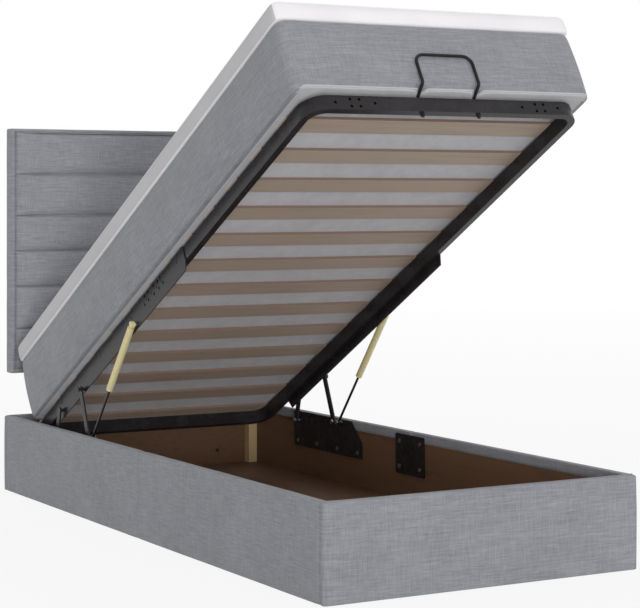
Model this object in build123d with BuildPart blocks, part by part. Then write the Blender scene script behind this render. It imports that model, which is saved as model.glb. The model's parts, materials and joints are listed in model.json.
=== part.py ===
"""Upholstered ottoman storage bed with a gas-lift platform, drawn in its open position.

X runs across the bed, Y from the foot to the head and Z up from the floor. The origin lies
on the floor under the middle of the base. All lengths are in millimetres.
"""

from build123d import *
from math import atan2, cos, degrees, hypot, radians, sin, sqrt
import os

os.makedirs("parts", exist_ok=True)

# Base
base_length = 2080.0
base_width = 920.0
base_height = 240.0
board_thickness = 18.0
padding_thickness = 5.0
rim_padding = 4.0
lip_thickness = 1.5
lip_drop = 28.0
hem_thickness = 1.5
arris_radius = 4.0
plate_thickness = 3.0

# Corner blocks, floor and its supports
block_size = 30.0
block_height = 150.0
floor_height = 30.0
floor_thickness = 5.0
floor_clearance = 0.5
cleat_width = 20.0
cleat_height = 25.0
rail_width = 40.0
rail_foot_height = 8.0
rail_foot_length = 60.0
rail_foot_count = 3

# Bolts
bolt_radius = 3.0
bolt_clearance = 0.3
bolt_head_radius = 7.0
bolt_head_height = 2.6
rivet_radius = 2.5
rivet_head_radius = 4.5
rivet_head_height = 1.2
fastener_sides = 6

# Side splice plates
splice_length = 158.0
splice_height = 120.0
splice_rim_gap = 9.0
splice_bolt_edge = 22.0

# Headboard
headboard_side_inset = 18.0
headboard_bottom = 375.0
headboard_height = 791.0
headboard_border = 17.0
border_proud = 1.0
border_radius = 7.0
channel_crown = 10.0
channel_padding = 20.0
channel_height_shares = (0.172, 0.177, 0.150, 0.149, 0.174, 0.178)
headboard_front_board = 4.0
headboard_back_board = 2.0
leg_width = 60.0
leg_thickness = 22.0
leg_side_inset = 142.0
leg_floor_gap = 10.0
headboard_rail_height = 60.0
headboard_bolt_heights = (80.0, 180.0)
knob_radius = 14.0
knob_height = 10.0
knob_sides = 12

# Lifting platform
frame_side_gap = 27.5
frame_head_gap = 27.0
tube_width = 20.0
tube_height = 40.0
tube_wall = 1.5
corner_radius = 50.0
sleeve_length = 160.0
sleeve_clearance = 0.3
splice_bolt_offsets = (-55.0, -18.0, 18.0, 55.0)
slat_count = 13
slat_width = 64.0
slat_thickness = 8.0
slat_end_inset = 2.0
first_slat = 112.0
last_slat_margin = 6.0

# Mattress and topper
mattress_side_inset = 15.0
mattress_thickness = 197.0
mattress_foot_overhang = 20.0
mattress_head_margin = 40.0
mattress_corner_radius = 45.0
mattress_edge_radius = 12.0
mattress_waist = 5.0
mattress_bulge = 5.0
topper_overhang = 2.0
topper_thickness = 51.0
topper_corner_radius = 22.0
topper_edge_radius = 12.0
topper_crown = 5.0
topper_crown_reach = 150.0

# Lift geometry
open_tilt = radians(29.25)
rim_gap = 2.3
open_head_setback = 188.4
closed_foot_gap = 4.0
front_pivot_to_head = 413.5
front_pivot_drop = 17.0
rear_pivot_spacing = 183.0
rear_pivot_drop = 5.0
strut_pivot_spacing = 432.0
strut_pivot_drop = 12.0
base_pivot_depth = 10.0
rear_base_pivot_depth = 30.0
strut_foot_offset = 30.0

# Lift hardware
arm_thickness = 5.0
arm_width = 20.0
pin_radius = 5.0
running_clearance = 0.05
pin_head_radius = 8.0
pin_head_height = 2.5
pin_end_gap = 0.5
strut_radius = 10.0
strut_wall = 1.5
rod_radius = 4.0
eye_radius = 10.0
eye_thickness = 10.0
strut_end_gap = 2.0
gland_length = 12.0
piston_length = 10.0
hinge_plate_reach = 395.0
hinge_plate_tail = 235.0
hinge_plate_hang = 27.0
hinge_plate_slope = 12.0
bracket_depth = 115.0
bracket_tail = 125.0
bracket_slope = 65.0
bracket_head_margin = 32.0
bracket_top_gap = 1.0
bracket_bolt_rise = 18.0

# Handle
handle_spacing = 168.0
handle_radius = 4.0
handle_sides = 6
handle_bend = 25.0
handle_foot_bend = 6.0
handle_knee_bend = 8.0
handle_offset = 31.0
handle_knee_rise = 22.0
handle_rise = 104.0
handle_stub = 10.0
handle_groove_gap = 0.6
nut_radius = 6.5
nut_height = 6.0

sides = (("left", -1), ("right", 1))
cut_overrun = 1.0

# Faces of the upholstered base
panel_thickness = padding_thickness + board_thickness + lip_thickness
foot_end = -base_length / 2
head_end = base_length / 2
inner_half_width = base_width / 2 - panel_thickness
board_inner_x = base_width / 2 - padding_thickness - board_thickness
board_inner_y = base_length / 2 - padding_thickness - board_thickness
board_top = base_height - rim_padding
plate_face_x = inner_half_width - plate_thickness

# Widths and lengths that follow the base
headboard_width = base_width - 2 * headboard_side_inset
leg_spacing = headboard_width - 2 * leg_side_inset
frame_width = 2 * (inner_half_width - frame_side_gap)
frame_length = base_length - 2 * panel_thickness - closed_foot_gap - frame_head_gap
mattress_width = base_width - 2 * mattress_side_inset
mattress_length = frame_length + mattress_foot_overhang - mattress_head_margin
topper_width = mattress_width + 2 * topper_overhang
topper_length = mattress_length

# Places along the platform, from its foot end, and above the underside of its tube
slat_bottom = tube_height
slat_top = slat_bottom + slat_thickness
mattress_top = slat_top + mattress_thickness
topper_top = mattress_top + topper_thickness
front_pivot = (frame_length - front_pivot_to_head, -front_pivot_drop)
rear_pivot = (front_pivot[0] + rear_pivot_spacing, -rear_pivot_drop)
strut_pivot = (front_pivot[0] - strut_pivot_spacing, -strut_pivot_drop)
frame_half_width = frame_width / 2
tube_line_x = frame_half_width - tube_width / 2
hinge_plate_face_x = frame_half_width + plate_thickness
lane_x = (hinge_plate_face_x + plate_face_x) / 2

# Open and closed places of the platform
mattress_head = mattress_length - mattress_foot_overhang
open_y = head_end - open_head_setback - mattress_head * cos(open_tilt) - slat_top * sin(open_tilt)
open_z = base_height + rim_gap + mattress_head * sin(open_tilt) - slat_top * cos(open_tilt)
closed_y = foot_end + panel_thickness + closed_foot_gap
closed_z = base_height + rim_gap - slat_top


def when_open(along, up):
    """Place in the YZ plane of a point of the open platform."""
    y = open_y + along * cos(open_tilt) + up * sin(open_tilt)
    z = open_z - along * sin(open_tilt) + up * cos(open_tilt)
    return (y, z)


def when_closed(along, up):
    """Place in the YZ plane of a point of the closed platform."""
    return (closed_y + along, closed_z + up)


def base_pivot(point, depth):
    """Fixed pivot, so far under the rim, that is as far from the open place as from the closed one."""
    open_place = when_open(*point)
    closed_place = when_closed(*point)
    middle = [(a + b) / 2 for a, b in zip(open_place, closed_place)]
    travel = [a - b for a, b in zip(open_place, closed_place)]
    z = base_height - depth
    y = middle[0] - (z - middle[1]) * travel[1] / travel[0]
    return (y, z)


def distance(start, end):
    return hypot(end[0] - start[0], end[1] - start[1])


def heading(start, end):
    return atan2(end[1] - start[1], end[0] - start[0])


front_base = base_pivot(front_pivot, base_pivot_depth)
rear_base = base_pivot(rear_pivot, rear_base_pivot_depth)
strut_base = (front_base[0] - strut_foot_offset, front_base[1])
front_open = when_open(*front_pivot)
rear_open = when_open(*rear_pivot)
strut_open = when_open(*strut_pivot)
strut_closed = when_closed(*strut_pivot)
strut_length_open = distance(strut_base, strut_open)
strut_length_closed = distance(strut_base, strut_closed)
strut_stroke = strut_length_open - strut_length_closed

# Planes of the open platform: deck looks up through it, the others look across the bed
deck = Plane(
    origin=(0, open_y, open_z),
    x_dir=(1, 0, 0),
    z_dir=(0, sin(open_tilt), cos(open_tilt)),
)


def platform_side(x):
    """Plane across the bed at x, with the platform's length and height as its own axes."""
    return Plane(
        origin=(x, open_y, open_z),
        x_dir=(0, cos(open_tilt), -sin(open_tilt)),
        z_dir=(1, 0, 0),
    )


def on_platform(x, along, up):
    """Point of the open platform."""
    return Vector(x, *when_open(along, up))


def outline(plane, points):
    """Flat face with straight sides."""
    with BuildSketch(plane) as flat:
        with BuildLine():
            Polyline(*points, close=True)
        make_face()
    return flat.sketch


def circles(plane, points, radius):
    with BuildSketch(plane) as flat:
        with Locations(*points):
            Circle(radius)
    return flat.sketch


def polygons(plane, points, radius, side_count=fastener_sides):
    """Plain fasteners and their holes, with few sides that all face the same way."""
    with BuildSketch(plane) as flat:
        with Locations(*points):
            RegularPolygon(radius, side_count)
    return flat.sketch


# Side boards, in two halves that meet at mid length
splice_middle_z = base_height - splice_rim_gap - splice_height / 2
splice_bolt_places = [
    (along * (splice_length / 2 - splice_bolt_edge), splice_middle_z + up * (splice_height / 2 - splice_bolt_edge))
    for along in (-1, 1)
    for up in (-1, 1)
]
bracket_bottom = base_height - bracket_depth
bracket_foot = strut_base[0] - bracket_tail
bracket_head = rear_base[0] + bracket_head_margin
bracket_bolt_places = [
    (bracket_foot + (bracket_head - bracket_foot) * share, bracket_bottom + bracket_bolt_rise)
    for share in (0.06, 0.35, 0.65, 0.94)
]
side_bolt_places = splice_bolt_places + bracket_bolt_places

for side, sign in sides:
    inner_face = Plane.YZ.offset(sign * board_inner_x)
    for half, direction in (("foot", -1), ("head", 1)):
        with BuildPart() as side_board:
            board_corners = [
                (0, hem_thickness),
                (direction * board_inner_y, hem_thickness),
                (direction * board_inner_y, board_top),
                (0, board_top),
            ]
            extrude(outline(inner_face, board_corners), amount=sign * board_thickness)
            board_holes = [place for place in side_bolt_places if place[0] * direction > 0]
            extrude(
                polygons(inner_face, board_holes, bolt_radius + bolt_clearance),
                amount=sign * board_thickness,
                mode=Mode.SUBTRACT,
            )
        side_board.part.label = f"side_board_{side}_{half}"
        export_step(side_board.part, f"parts/side_board_{side}_{half}.step")


def cover_corners(depth_sign, outer, with_lip):
    """Section of a cover wrapped round a board: outside, rim, lip inside and hem underneath."""
    board_out = outer - depth_sign * padding_thickness
    board_in = board_out - depth_sign * board_thickness
    lip_in = board_in - depth_sign * lip_thickness
    rim_end = [(lip_in, base_height), (lip_in, base_height - lip_drop), (board_in, base_height - lip_drop)]
    if not with_lip:
        rim_end = [(board_in, base_height)]
    return [
        (outer, 0),
        (outer, base_height),
        *rim_end,
        (board_in, board_top),
        (board_out, board_top),
        (board_out, hem_thickness),
        (board_in, hem_thickness),
        (board_in, 0),
    ]


# Side covers
for side, sign in sides:
    for half, direction in (("foot", -1), ("head", 1)):
        with BuildPart() as side_cover:
            section = outline(Plane.XZ, cover_corners(sign, sign * base_width / 2, True))
            extrude(section, amount=-direction * board_inner_y)
            rim_edge = side_cover.edges().filter_by(Axis.Y).group_by(Axis.Z)[-1].sort_by(Axis.X)
            fillet(rim_edge[-1 if sign > 0 else 0], radius=arris_radius)
        side_cover.part.label = f"side_cover_{side}_{half}"
        export_step(side_cover.part, f"parts/side_cover_{side}_{half}.step")

# Foot and head boards and their covers, which wrap round the ends as well
headboard_bolt_places = [
    (across * leg_spacing / 2, height) for across in (-1, 1) for height in headboard_bolt_heights
]

for end, direction in (("foot", -1), ("head", 1)):
    outer_y = direction * base_length / 2
    board_out_y = outer_y - direction * padding_thickness
    with BuildPart() as end_board:
        board_face = Plane.XZ.offset(-board_out_y)
        half_board = base_width / 2 - padding_thickness
        board_corners = [
            (-half_board, hem_thickness),
            (half_board, hem_thickness),
            (half_board, board_top),
            (-half_board, board_top),
        ]
        extrude(outline(board_face, board_corners), amount=direction * board_thickness)
        if end == "head":
            extrude(
                polygons(board_face, headboard_bolt_places, bolt_radius + bolt_clearance),
                amount=direction * board_thickness,
                mode=Mode.SUBTRACT,
            )
    end_board.part.label = f"{end}_board"
    export_step(end_board.part, f"parts/{end}_board.step")

    with BuildPart() as end_cover:
        for cover_half_width, with_lip in ((base_width / 2, False), (inner_half_width, True)):
            section = outline(
                Plane.YZ.offset(-cover_half_width),
                cover_corners(direction, outer_y, with_lip),
            )
            extrude(section, amount=2 * cover_half_width)
        end_corners = [
            (outer_y, 0),
            (outer_y - direction * (padding_thickness + board_thickness), 0),
            (outer_y - direction * (padding_thickness + board_thickness), base_height),
            (outer_y, base_height),
        ]
        for side, sign in sides:
            end_face = Plane.YZ.offset(sign * (base_width / 2 - padding_thickness))
            extrude(outline(end_face, end_corners), amount=sign * padding_thickness)
        outer_edges = end_cover.edges().filter_by(Axis.Z).group_by(Axis.Y)[0 if direction < 0 else -1]
        fillet(outer_edges, radius=arris_radius)
        if end == "head":
            extrude(
                polygons(Plane.XZ.offset(-outer_y), headboard_bolt_places, bolt_radius + bolt_clearance),
                amount=padding_thickness + cut_overrun,
                both=True,
                mode=Mode.SUBTRACT,
            )
    end_cover.part.label = f"{end}_cover"
    export_step(end_cover.part, f"parts/{end}_cover.step")

# Storage floor, its cleats and the centre rail
floor_top = floor_height + floor_thickness

with BuildPart() as floor_panels:
    with BuildSketch(Plane.XY.offset(floor_height)):
        with GridLocations(0, board_inner_y, 1, 2):
            Rectangle(2 * (board_inner_x - floor_clearance), board_inner_y - floor_clearance)
    extrude(amount=floor_thickness)
floor_panels.part.label = "floor_panels"
export_step(floor_panels.part, "parts/floor_panels.step")

with BuildPart() as floor_cleats:
    with BuildSketch(Plane.XY.offset(floor_height - cleat_height)):
        for side, sign in sides:
            with Locations((sign * (board_inner_x - cleat_width / 2), 0)):
                Rectangle(cleat_width, 2 * (board_inner_y - floor_clearance))
    extrude(amount=cleat_height)
floor_cleats.part.label = "floor_cleats"
export_step(floor_cleats.part, "parts/floor_cleats.step")

rail_length = 2 * (board_inner_y - floor_clearance)
rail_foot_pitch = (rail_length - rail_foot_length) / (rail_foot_count - 1)

with BuildPart() as centre_rail:
    with BuildSketch(Plane.XY.offset(rail_foot_height)):
        Rectangle(rail_width, rail_length)
    extrude(amount=floor_height - rail_foot_height)
    with BuildSketch(Plane.XY):
        with GridLocations(0, rail_foot_pitch, 1, rail_foot_count):
            Rectangle(rail_width, rail_foot_length)
    extrude(amount=rail_foot_height)
centre_rail.part.label = "centre_rail"
export_step(centre_rail.part, "parts/centre_rail.step")

# Corner blocks
block_places = [
    (across * (board_inner_x - block_size / 2), along * (board_inner_y - block_size / 2))
    for across in (-1, 1)
    for along in (-1, 1)
]

with BuildPart() as corner_blocks:
    with BuildSketch(Plane.XY.offset(floor_top)):
        with Locations(*block_places):
            Rectangle(block_size, block_size)
    extrude(amount=block_height)
corner_blocks.part.label = "corner_blocks"
export_step(corner_blocks.part, "parts/corner_blocks.step")

# Side splice plates
with BuildPart() as side_splice_plates:
    for side, sign in sides:
        with BuildSketch(Plane.YZ.offset(sign * plate_face_x)) as plate_outline:
            with Locations((0, splice_middle_z)):
                Rectangle(splice_length, splice_height)
            chamfer(plate_outline.vertices(), length=arris_radius)
            with Locations(*splice_bolt_places):
                RegularPolygon(bolt_radius + bolt_clearance, fastener_sides, mode=Mode.SUBTRACT)
        extrude(amount=sign * plate_thickness)
side_splice_plates.part.label = "side_splice_plates"
export_step(side_splice_plates.part, "parts/side_splice_plates.step")

# Lift brackets on the inner faces of the side panels
bracket_top = base_height - bracket_top_gap
bracket_corners = [
    (bracket_foot, bracket_bottom),
    (bracket_head, bracket_bottom),
    (bracket_head, bracket_top),
    (bracket_foot + bracket_slope, bracket_top),
    (bracket_foot, bracket_top - bracket_slope),
]

for side, sign in sides:
    with BuildPart() as lift_bracket:
        bracket_face = Plane.YZ.offset(sign * plate_face_x)
        extrude(outline(bracket_face, bracket_corners), amount=sign * plate_thickness)
        extrude(
            polygons(bracket_face, bracket_bolt_places, bolt_radius + bolt_clearance),
            amount=sign * plate_thickness,
            mode=Mode.SUBTRACT,
        )
    lift_bracket.part.label = f"lift_bracket_{side}"
    export_step(lift_bracket.part, f"parts/lift_bracket_{side}.step")

# Bolts through the plates and the side boards
with BuildPart() as base_bolts:
    grip = plate_thickness + lip_thickness + board_thickness
    for side, sign in sides:
        seat = Plane(origin=(sign * plate_face_x, 0, 0), x_dir=(0, 1, 0), z_dir=(-sign, 0, 0))
        places = [(along, -sign * up) for along, up in side_bolt_places]
        extrude(polygons(seat, places, bolt_head_radius), amount=bolt_head_height)
        extrude(polygons(seat, places, bolt_radius), amount=-grip)
base_bolts.part.label = "base_bolts"
export_step(base_bolts.part, "parts/base_bolts.step")

# Studs on the lift brackets that the arms and struts turn on
stud_length = plate_face_x - hinge_plate_face_x - pin_end_gap

with BuildPart() as base_pivot_studs:
    for side, sign in sides:
        for pivot in (front_base, strut_base, rear_base):
            root = Plane.YZ.offset(sign * plate_face_x)
            tip = Plane.YZ.offset(sign * (plate_face_x - stud_length))
            extrude(circles(root, [pivot], pin_radius), amount=-sign * stud_length)
            extrude(polygons(tip, [pivot], pin_head_radius), amount=sign * pin_head_height)
base_pivot_studs.part.label = "base_pivot_studs"
export_step(base_pivot_studs.part, "parts/base_pivot_studs.step")

# Headboard: channelled padding between seams, inside an upholstered border
board_front_y = head_end - headboard_front_board
seam_y = board_front_y - (channel_padding - channel_crown)
crown_y = board_front_y - channel_padding
field_bottom = headboard_bottom + headboard_border
field_height = headboard_height - 2 * headboard_border
field_half_width = headboard_width / 2 - headboard_border
leg_back_y = head_end + leg_thickness
headboard_back_y = leg_back_y + headboard_back_board

with BuildPart() as headboard_padding:
    with BuildSketch(Plane.YZ.offset(-field_half_width)):
        with BuildLine():
            channel_bottom = field_bottom
            for height_share in channel_height_shares:
                channel_top = channel_bottom + field_height * height_share
                ThreePointArc(
                    (seam_y, channel_bottom),
                    (crown_y, (channel_bottom + channel_top) / 2),
                    (seam_y, channel_top),
                )
                channel_bottom = channel_top
            Polyline(
                (seam_y, channel_bottom),
                (board_front_y, channel_bottom),
                (board_front_y, field_bottom),
                (seam_y, field_bottom),
            )
        make_face()
    extrude(amount=2 * field_half_width)
headboard_padding.part.label = "headboard_padding"
export_step(headboard_padding.part, "parts/headboard_padding.step")

headboard_middle_z = headboard_bottom + headboard_height / 2
border_front_y = crown_y - border_proud
leg_places = [(across * leg_spacing / 2, head_end + leg_thickness / 2) for across in (-1, 1)]

with BuildPart() as headboard_border_wrap:
    with BuildSketch(Plane.XZ.offset(-headboard_back_y)):
        with Locations((0, headboard_middle_z)):
            Rectangle(headboard_width, headboard_height)
            Rectangle(2 * field_half_width, field_height, mode=Mode.SUBTRACT)
    extrude(amount=headboard_back_y - border_front_y)
    front_edges = headboard_border_wrap.faces().sort_by(Axis.Y)[0].outer_wire().edges()
    fillet(front_edges, radius=border_radius)
    with BuildSketch(Plane.XY.offset(headboard_bottom)):
        with Locations(*leg_places):
            Rectangle(leg_width, leg_thickness)
    extrude(amount=headboard_border, mode=Mode.SUBTRACT)
headboard_border_wrap.part.label = "headboard_border"
export_step(headboard_border_wrap.part, "parts/headboard_border.step")

for name, back_y, thickness in (
    ("headboard_front_board", head_end, headboard_front_board),
    ("headboard_back_board", headboard_back_y, headboard_back_board),
):
    with BuildPart() as headboard_sheet:
        with BuildSketch(Plane.XZ.offset(-back_y)):
            with Locations((0, headboard_middle_z)):
                Rectangle(2 * field_half_width, field_height)
        extrude(amount=thickness)
    headboard_sheet.part.label = name
    export_step(headboard_sheet.part, f"parts/{name}.step")

for (side, sign), place in zip(sides, leg_places):
    with BuildPart() as headboard_leg:
        with BuildSketch(Plane.XY.offset(leg_floor_gap)):
            with Locations(place):
                Rectangle(leg_width, leg_thickness)
        extrude(amount=field_bottom + field_height - leg_floor_gap)
        leg_holes = [(place[0], height) for height in headboard_bolt_heights]
        extrude(
            polygons(Plane.XZ.offset(-leg_back_y), leg_holes, bolt_radius + bolt_clearance),
            amount=leg_thickness,
            mode=Mode.SUBTRACT,
        )
    headboard_leg.part.label = f"headboard_leg_{side}"
    export_step(headboard_leg.part, f"parts/headboard_leg_{side}.step")

headboard_rail_pitch = (field_height - headboard_rail_height) / 2

with BuildPart() as headboard_rails:
    with BuildSketch(Plane.XZ.offset(-leg_back_y)):
        with Locations((0, headboard_middle_z)):
            with GridLocations(0, headboard_rail_pitch, 1, 3):
                Rectangle(leg_spacing - leg_width, headboard_rail_height)
    extrude(amount=leg_thickness)
headboard_rails.part.label = "headboard_rails"
export_step(headboard_rails.part, "parts/headboard_rails.step")

with BuildPart() as headboard_bolts:
    back_face = Plane.XZ.offset(-leg_back_y)
    grip = leg_thickness + padding_thickness + board_thickness
    extrude(polygons(back_face, headboard_bolt_places, knob_radius, knob_sides), amount=-knob_height)
    extrude(polygons(back_face, headboard_bolt_places, bolt_radius), amount=grip)
    inner_seat = back_face.offset(grip)
    extrude(polygons(inner_seat, headboard_bolt_places, bolt_head_radius), amount=bolt_head_height)
headboard_bolts.part.label = "headboard_bolts"
export_step(headboard_bolts.part, "parts/headboard_bolts.step")

# Platform frame: two bent U-shaped halves of rectangular tube
frame_middle = frame_length / 2
splice_bolt_along = [frame_middle + offset_along for offset_along in splice_bolt_offsets]
tube_bolt_places = [(along, tube_height / 2) for along in splice_bolt_along]
hinge_plate_foot = strut_pivot[0] - hinge_plate_reach + tube_height / 2
hinge_plate_head = front_pivot[0] + hinge_plate_tail
rivet_places = [
    (hinge_plate_foot + (hinge_plate_head - hinge_plate_foot) * share, tube_height / 2)
    for share in (0.05, 0.38, 0.62, 0.95)
]
handle_legs = [(across * handle_spacing / 2, tube_width / 2) for across in (-1, 1)]

for half, end_along, direction in (("foot", 0, 1), ("head", frame_length, -1)):
    end_line = end_along + direction * tube_width / 2
    with BuildPart() as frame_half:
        with BuildLine(deck.offset(tube_height / 2)) as tube_path:
            FilletPolyline(
                (-tube_line_x, frame_middle),
                (-tube_line_x, end_line),
                (tube_line_x, end_line),
                (tube_line_x, frame_middle),
                radius=corner_radius,
            )
        with BuildSketch(Plane(origin=tube_path.line @ 0, x_dir=(1, 0, 0), z_dir=tube_path.line % 0)):
            Rectangle(tube_width, tube_height)
            Rectangle(tube_width - 2 * tube_wall, tube_height - 2 * tube_wall, mode=Mode.SUBTRACT)
        sweep(path=tube_path.line)
        for side, sign in sides:
            with BuildSketch(platform_side(sign * frame_half_width)):
                for places, radius in ((tube_bolt_places, bolt_radius), (rivet_places, rivet_radius)):
                    for place in places:
                        if (frame_middle - place[0]) * direction > 0:
                            with Locations(place):
                                RegularPolygon(radius + bolt_clearance, fastener_sides)
            extrude(amount=-sign * tube_width, mode=Mode.SUBTRACT)
        if half == "foot":
            extrude(
                polygons(deck, handle_legs, handle_radius + bolt_clearance, handle_sides),
                amount=tube_height,
                mode=Mode.SUBTRACT,
            )
    frame_half.part.label = f"frame_{half}_half"
    export_step(frame_half.part, f"parts/frame_{half}_half.step")

sleeve_width = tube_width - 2 * (tube_wall + sleeve_clearance)
sleeve_height = tube_height - 2 * (tube_wall + sleeve_clearance)
frame_section = Plane(
    origin=on_platform(0, frame_middle, tube_height / 2),
    x_dir=(1, 0, 0),
    z_dir=(0, -cos(open_tilt), sin(open_tilt)),
)

with BuildPart() as frame_sleeves:
    for side, sign in sides:
        with BuildSketch(frame_section):
            with Locations((sign * tube_line_x, 0)):
                Rectangle(sleeve_width, sleeve_height)
                Rectangle(sleeve_width - 2 * tube_wall, sleeve_height - 2 * tube_wall, mode=Mode.SUBTRACT)
        extrude(amount=sleeve_length / 2, both=True)
        extrude(
            polygons(
                platform_side(sign * frame_half_width),
                tube_bolt_places,
                bolt_radius + bolt_clearance,
            ),
            amount=-sign * tube_width,
            mode=Mode.SUBTRACT,
        )
frame_sleeves.part.label = "frame_sleeves"
export_step(frame_sleeves.part, "parts/frame_sleeves.step")

# Hinge plates riveted outside the side tubes
plate_corners = [
    (hinge_plate_foot, tube_height - cut_overrun),
    (hinge_plate_foot, 0),
    (hinge_plate_foot + hinge_plate_slope, -hinge_plate_hang),
    (hinge_plate_head - hinge_plate_slope, -hinge_plate_hang),
    (hinge_plate_head, 0),
    (hinge_plate_head, tube_height - cut_overrun),
]
plate_bolts = [place for place in tube_bolt_places if hinge_plate_foot < place[0] < hinge_plate_head]

for side, sign in sides:
    with BuildPart() as hinge_plate:
        plate_face = platform_side(sign * frame_half_width)
        extrude(outline(plate_face, plate_corners), amount=sign * plate_thickness)
        with BuildSketch(plate_face):
            for places, radius in ((plate_bolts, bolt_radius), (rivet_places, rivet_radius)):
                for place in places:
                    with Locations(place):
                        RegularPolygon(radius + bolt_clearance, fastener_sides)
        extrude(amount=sign * plate_thickness, mode=Mode.SUBTRACT)
    hinge_plate.part.label = f"hinge_plate_{side}"
    export_step(hinge_plate.part, f"parts/hinge_plate_{side}.step")

# Pins of the platform's front pivots
with BuildPart() as platform_pivot_pins:
    for side, sign in sides:
        root = platform_side(sign * hinge_plate_face_x)
        tip = platform_side(sign * (hinge_plate_face_x + stud_length))
        extrude(circles(root, [front_pivot], pin_radius), amount=sign * stud_length)
        extrude(polygons(tip, [front_pivot], pin_head_radius), amount=-sign * pin_head_height)
platform_pivot_pins.part.label = "platform_pivot_pins"
export_step(platform_pivot_pins.part, "parts/platform_pivot_pins.step")

# Slats across the top of the tubes
slat_length = frame_width - 2 * slat_end_inset
slat_pitch = (frame_length - last_slat_margin - slat_width - first_slat) / (slat_count - 1)

for index in range(slat_count):
    slat_middle = first_slat + slat_width / 2 + index * slat_pitch
    with BuildPart() as slat:
        with BuildSketch(deck.offset(slat_bottom)):
            with Locations((0, slat_middle)):
                Rectangle(slat_length, slat_width)
        extrude(amount=slat_thickness)
    slat.part.label = f"slat_{index + 1:02d}"
    export_step(slat.part, f"parts/slat_{index + 1:02d}.step")

# Handle: a bent rod through the foot tube that also holds the mattress
leg_x = handle_spacing / 2
leg_along = tube_width / 2
rod_up = tube_height + handle_radius
side_points = [
    (leg_along, -handle_stub),
    (leg_along, rod_up),
    (-handle_offset, rod_up + handle_knee_rise),
    (-handle_offset, rod_up + handle_rise),
]
handle_points = [on_platform(-leg_x, *point) for point in side_points]
handle_points += [on_platform(leg_x, *point) for point in reversed(side_points)]
side_bends = [handle_foot_bend, handle_knee_bend, handle_bend]

with BuildPart() as handle:
    with BuildLine() as handle_path:
        FilletPolyline(*handle_points, radius=[*side_bends, *reversed(side_bends)])
    with BuildSketch(Plane(origin=handle_path.line @ 0, x_dir=(1, 0, 0), z_dir=handle_path.line % 0)):
        RegularPolygon(handle_radius, handle_sides)
    sweep(path=handle_path.line)
handle.part.label = "handle"
export_step(handle.part, "parts/handle.step")

# Bolts of the tube joints, rivets of the hinge plates and nuts of the handle
with BuildPart() as frame_fasteners:
    for side, sign in sides:
        outside = platform_side(sign * hinge_plate_face_x)
        inside = platform_side(sign * (frame_half_width - tube_width))
        grip = plate_thickness + tube_width
        for places, shank, head, height in (
            (tube_bolt_places, bolt_radius, rivet_head_radius, rivet_head_height),
            (rivet_places, rivet_radius, rivet_head_radius, rivet_head_height),
        ):
            extrude(polygons(outside, places, head), amount=sign * height)
            extrude(polygons(outside, places, shank), amount=-sign * grip)
            extrude(polygons(inside, places, head), amount=-sign * height)
    with BuildSketch(deck):
        with Locations(*handle_legs):
            RegularPolygon(nut_radius, fastener_sides)
            RegularPolygon(handle_radius + bolt_clearance, handle_sides, mode=Mode.SUBTRACT)
    extrude(amount=-nut_height)
frame_fasteners.part.label = "frame_fasteners"
export_step(frame_fasteners.part, "parts/frame_fasteners.step")


def cushion_layer(level, width, length, middle, inset, waist, radius):
    """Plan outline of a cushion at one level: rounded corners and sides drawn in between them."""
    half_width = width / 2 - inset
    half_length = length / 2 - inset
    bend = radius - inset / 2
    with BuildSketch(deck.offset(level)) as layer:
        with BuildLine():
            for across, along in ((1, -1), (1, 1), (-1, 1), (-1, -1)):
                corner_x = across * (half_width - bend)
                corner_y = middle + along * (half_length - bend)
                side_end = (across * half_width, corner_y)
                end_end = (corner_x, middle + along * half_length)
                swing = (
                    corner_x + across * bend * sqrt(2) / 2,
                    corner_y + along * bend * sqrt(2) / 2,
                )
                ThreePointArc(side_end, swing, end_end)
            for across in (-1, 1):
                x = across * half_width
                reach = half_length - bend
                ThreePointArc((x, middle - reach), (x - across * waist, middle), (x, middle + reach))
            for along in (-1, 1):
                y = middle + along * half_length
                reach = half_width - bend
                ThreePointArc((-reach, y), (0, y - along * waist), (reach, y))
        make_face()
    return layer.sketch


# Grooves in the foot edge of the mattress that the sloping legs of the handle pass through
leg_slope = handle_knee_rise / (leg_along + handle_offset)
groove_half_width = handle_radius + handle_groove_gap
groove_ends = (leg_along + groove_half_width, -handle_offset - groove_half_width)


def groove_roof(along):
    return rod_up + (leg_along - along) * leg_slope + groove_half_width * hypot(1, leg_slope)


groove_corners = [
    (groove_ends[0], tube_height),
    (groove_ends[0], groove_roof(groove_ends[0])),
    (groove_ends[1], groove_roof(groove_ends[1])),
    (groove_ends[1], tube_height),
]

# Mattress: rounded edges, bulged walls and sides drawn in between its corners
mattress_middle = mattress_length / 2 - mattress_foot_overhang
mattress_levels = (
    (slat_top, mattress_edge_radius),
    (slat_top + mattress_edge_radius, mattress_bulge),
    (slat_top + mattress_thickness / 2, 0),
    (mattress_top - mattress_edge_radius, mattress_bulge),
    (mattress_top, mattress_edge_radius),
)

with BuildPart() as mattress:
    layers = [
        cushion_layer(
            level, mattress_width, mattress_length, mattress_middle, inset, mattress_waist, mattress_corner_radius
        )
        for level, inset in mattress_levels
    ]
    loft(layers, ruled=True)
    for across in (-1, 1):
        extrude(
            outline(platform_side(across * leg_x), groove_corners),
            amount=groove_half_width,
            both=True,
            mode=Mode.SUBTRACT,
        )
mattress.part.label = "mattress"
export_step(mattress.part, "parts/mattress.step")

# Topper: a thinner pad on the mattress with a crowned top
topper_shoulder = topper_top - topper_crown
topper_levels = (
    (mattress_top, topper_edge_radius),
    (mattress_top + topper_edge_radius, 0),
    (topper_shoulder - topper_edge_radius, 0),
    (topper_shoulder, topper_edge_radius),
    (topper_top, topper_crown_reach),
)

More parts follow.
